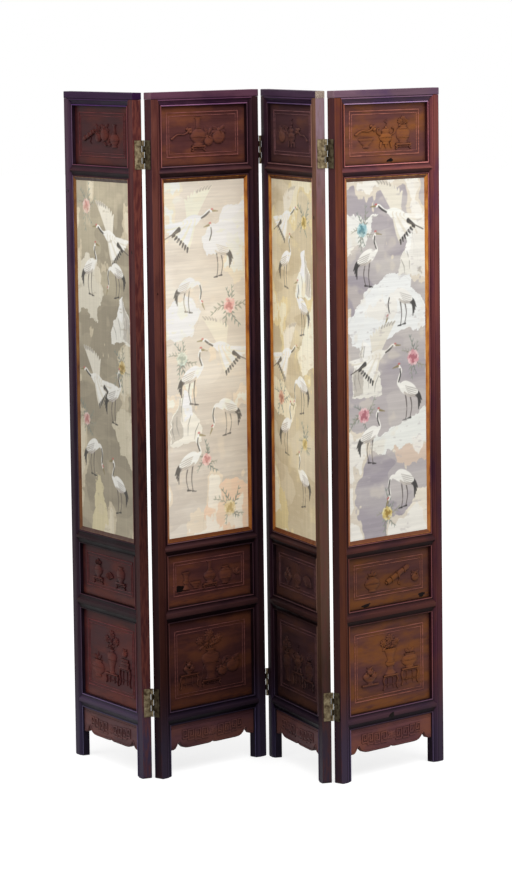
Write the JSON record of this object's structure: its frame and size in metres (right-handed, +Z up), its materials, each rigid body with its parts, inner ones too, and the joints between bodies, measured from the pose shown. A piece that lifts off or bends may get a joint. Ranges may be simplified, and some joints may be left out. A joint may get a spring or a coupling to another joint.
{
  "type": "four-leaf folding screen",
  "caption": "Free-standing folding screen: hinged hardwood leaves with carved boards, painted silk and scalloped aprons.",
  "frame": {"origin": "middle of the floor space the screen covers in its pictured zigzag, at the underside of its feet", "axes": "+Z up; -Y towards the viewer, the side the leaves' fronts face; +X to the right, from leaf 1 to leaf 4"},
  "size_m": [1.0126, 0.4842, 1.83],
  "materials": {
    "frame_wood": "dark red-brown polished hardwood with worn edges",
    "carved_wood": "warmer brown polished hardwood, carved",
    "painted_silk": "painted silk on a board, in a gilt wooden slip",
    "aged_brass": "aged yellow brass"
  },
  "bodies": {
    "leaf_1": {"leaf_1_left_stile": "frame_wood", "leaf_1_right_stile": "frame_wood", "leaf_1_top_rail": "frame_wood", "leaf_1_upper_rail": "frame_wood", "leaf_1_waist_rail": "frame_wood", "leaf_1_lower_rail": "frame_wood", "leaf_1_bottom_rail": "frame_wood", "leaf_1_top_panel": "carved_wood", "leaf_1_waist_panel": "carved_wood", "leaf_1_lower_panel": "carved_wood", "leaf_1_apron": "carved_wood", "leaf_1_painting": "painted_silk", "hinge_12_lower_pin_plate": "aged_brass", "hinge_12_upper_pin_plate": "aged_brass"},
    "leaf_2": {"leaf_2_left_stile": "frame_wood", "leaf_2_right_stile": "frame_wood", "leaf_2_top_rail": "frame_wood", "leaf_2_upper_rail": "frame_wood", "leaf_2_waist_rail": "frame_wood", "leaf_2_lower_rail": "frame_wood", "leaf_2_bottom_rail": "frame_wood", "leaf_2_top_panel": "carved_wood", "leaf_2_waist_panel": "carved_wood", "leaf_2_lower_panel": "carved_wood", "leaf_2_apron": "carved_wood", "leaf_2_painting": "painted_silk", "hinge_12_lower_plate": "aged_brass", "hinge_12_upper_plate": "aged_brass", "hinge_23_lower_plate": "aged_brass", "hinge_23_upper_plate": "aged_brass"},
    "leaf_3": {"leaf_3_left_stile": "frame_wood", "leaf_3_right_stile": "frame_wood", "leaf_3_top_rail": "frame_wood", "leaf_3_upper_rail": "frame_wood", "leaf_3_waist_rail": "frame_wood", "leaf_3_lower_rail": "frame_wood", "leaf_3_bottom_rail": "frame_wood", "leaf_3_top_panel": "carved_wood", "leaf_3_waist_panel": "carved_wood", "leaf_3_lower_panel": "carved_wood", "leaf_3_apron": "carved_wood", "leaf_3_painting": "painted_silk", "hinge_23_lower_pin_plate": "aged_brass", "hinge_23_upper_pin_plate": "aged_brass", "hinge_34_lower_pin_plate": "aged_brass", "hinge_34_upper_pin_plate": "aged_brass"},
    "leaf_4": {"leaf_4_left_stile": "frame_wood", "leaf_4_right_stile": "frame_wood", "leaf_4_top_rail": "frame_wood", "leaf_4_upper_rail": "frame_wood", "leaf_4_waist_rail": "frame_wood", "leaf_4_lower_rail": "frame_wood", "leaf_4_bottom_rail": "frame_wood", "leaf_4_top_panel": "carved_wood", "leaf_4_waist_panel": "carved_wood", "leaf_4_lower_panel": "carved_wood", "leaf_4_apron": "carved_wood", "leaf_4_painting": "painted_silk", "hinge_34_lower_plate": "aged_brass", "hinge_34_upper_plate": "aged_brass"}
  },
  "joints": [
    {"name": "fold_12", "type": "hinge", "parent": "leaf_1", "child": "leaf_2", "pos_m": [-0.28168, -0.12997, 0], "axis": [0, 0, 1], "range_deg": [-109.7, 70.3]},
    {"name": "fold_23", "type": "hinge", "parent": "leaf_2", "child": "leaf_3", "pos_m": [0.02645, 0.16629, 0], "axis": [0, 0, 1], "range_deg": [-61.7, 118.3]},
    {"name": "fold_34", "type": "hinge", "parent": "leaf_3", "child": "leaf_4", "pos_m": [0.19775, -0.22534, 0], "axis": [0, 0, 1], "range_deg": [-117.5, 62.5]}
  ]
}
